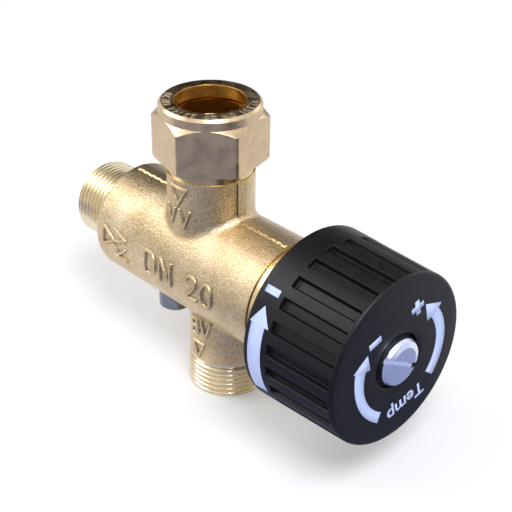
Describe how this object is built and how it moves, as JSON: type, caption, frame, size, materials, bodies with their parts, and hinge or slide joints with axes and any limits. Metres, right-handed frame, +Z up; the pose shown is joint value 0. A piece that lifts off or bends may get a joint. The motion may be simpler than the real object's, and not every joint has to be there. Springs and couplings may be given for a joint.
{
  "type": "thermostatic mixing valve",
  "caption": "Forged brass mixing valve with a cold inlet at the end, a hot compression inlet on top, a mixed outlet below and a ribbed temperature knob.",
  "frame": {"origin": "centre of the mixed outlet's end face", "axes": "+Z up the outlet's axis towards the hot inlet's side, +X along the barrel towards the temperature knob"},
  "size_m": [0.1388, 0.057, 0.099],
  "materials": {
    "forged_brass": "satin, as forged and blasted",
    "turned_brass": "bright, as turned",
    "copper": "satin drawn copper",
    "stainless_steel": "drawn wire and pressed strip",
    "zinc_steel": "bright zinc plate",
    "sealing_rubber": "matt",
    "fibre_gasket": "matt pressed fibre",
    "white_acetal": "satin moulded",
    "black_plastic": "satin moulded"
  },
  "bodies": {
    "body": {"valve_body": "forged_brass", "compression_nut": "forged_brass", "compression_olive": "turned_brass", "test_plug": "turned_brass", "test_plug_gasket": "fibre_gasket", "check_valve_housing": "white_acetal", "check_valve_o_ring": "sealing_rubber", "check_valve_guide": "white_acetal", "check_valve_spring": "stainless_steel", "check_valve_clip": "stainless_steel", "cold_seat_bush": "turned_brass", "cold_seat_o_ring": "sealing_rubber", "shuttle_o_ring": "sealing_rubber", "hot_seat_ring": "turned_brass", "return_spring": "stainless_steel", "bonnet": "turned_brass", "bonnet_o_ring": "sealing_rubber"},
    "overtravel_unit": {"overtravel_cup": "turned_brass", "overtravel_plunger": "turned_brass", "overtravel_spring": "stainless_steel", "overtravel_clip": "stainless_steel", "element_piston": "stainless_steel"},
    "adjusting_knob": {"temperature_knob": "black_plastic", "knob_screw": "zinc_steel", "spindle": "turned_brass", "inner_spindle_o_ring": "sealing_rubber", "outer_spindle_o_ring": "sealing_rubber"},
    "shuttle_unit": {"valve_shuttle": "turned_brass", "cold_valve_washer": "sealing_rubber", "cold_valve_disc": "turned_brass", "cold_valve_nut": "turned_brass", "wax_element": "copper"},
    "check_poppet": {"check_valve_poppet": "white_acetal", "check_valve_seal": "sealing_rubber"}
  },
  "joints": [
    {"name": "spindle_travel", "type": "slide", "parent": "body", "child": "overtravel_unit", "axis": [1, 0, 0], "range_m": [-0.00089, 0.00089]},
    {"name": "knob_turn", "type": "hinge", "parent": "overtravel_unit", "child": "adjusting_knob", "pos_m": [0.05, 0, 0.0438], "axis": [1, 0, 0], "range_deg": [-160, 160]},
    {"name": "shuttle_slide", "type": "slide", "parent": "overtravel_unit", "child": "shuttle_unit", "axis": [1, 0, 0], "range_m": [-0.0009, 0.0009], "stiffness_N_per_m": 1200, "deforming": ["return_spring"]},
    {"name": "check_poppet_slide", "type": "slide", "parent": "body", "child": "check_poppet", "axis": [1, 0, 0], "range_m": [0, 0.003], "stiffness_N_per_m": 60, "springref_m": -0.002, "deforming": ["check_valve_spring"]}
  ],
  "couplings": [
    {"joint": "knob_turn", "follows": "spindle_travel", "rad_per_m": 3141.6}
  ]
}
